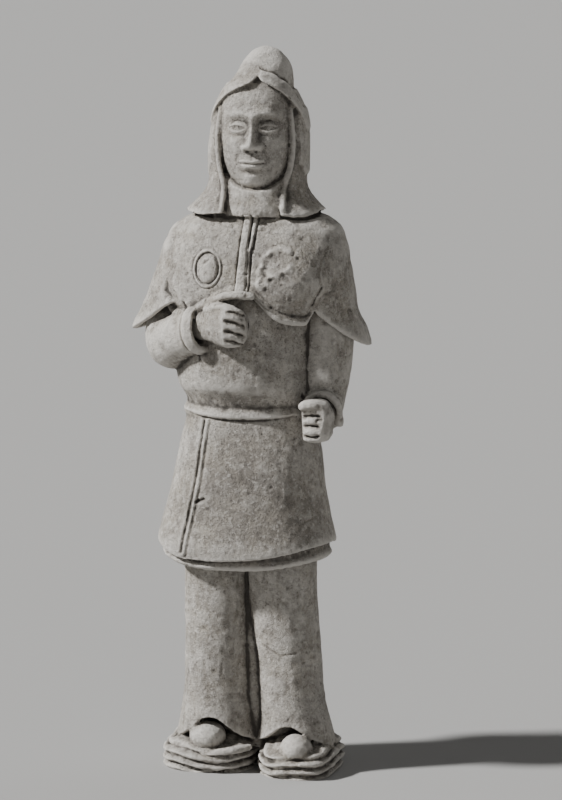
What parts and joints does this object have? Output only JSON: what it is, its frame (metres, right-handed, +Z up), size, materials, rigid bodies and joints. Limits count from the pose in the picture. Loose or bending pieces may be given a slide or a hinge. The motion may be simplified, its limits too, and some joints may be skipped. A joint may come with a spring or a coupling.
{
  "type": "terracotta warrior statue",
  "caption": "Standing fired-clay warrior in a hooded cap, shoulder cape and belted tunic, right fist at the chest and left fist at the hip, on rough foot pads.",
  "frame": {"origin": "middle of the bounding box's base, on the plane of the soles", "axes": "+Z up the figure from soles to crown, -Y the way the figure faces, +X towards the figure's left hand"},
  "size_m": [0.1838, 0.1186, 0.5502],
  "materials": {
    "fired_clay": "dry, matt and worn grey earthenware"
  },
  "bodies": {
    "root": {"warrior": "fired_clay"}
  },
  "joints": []
}
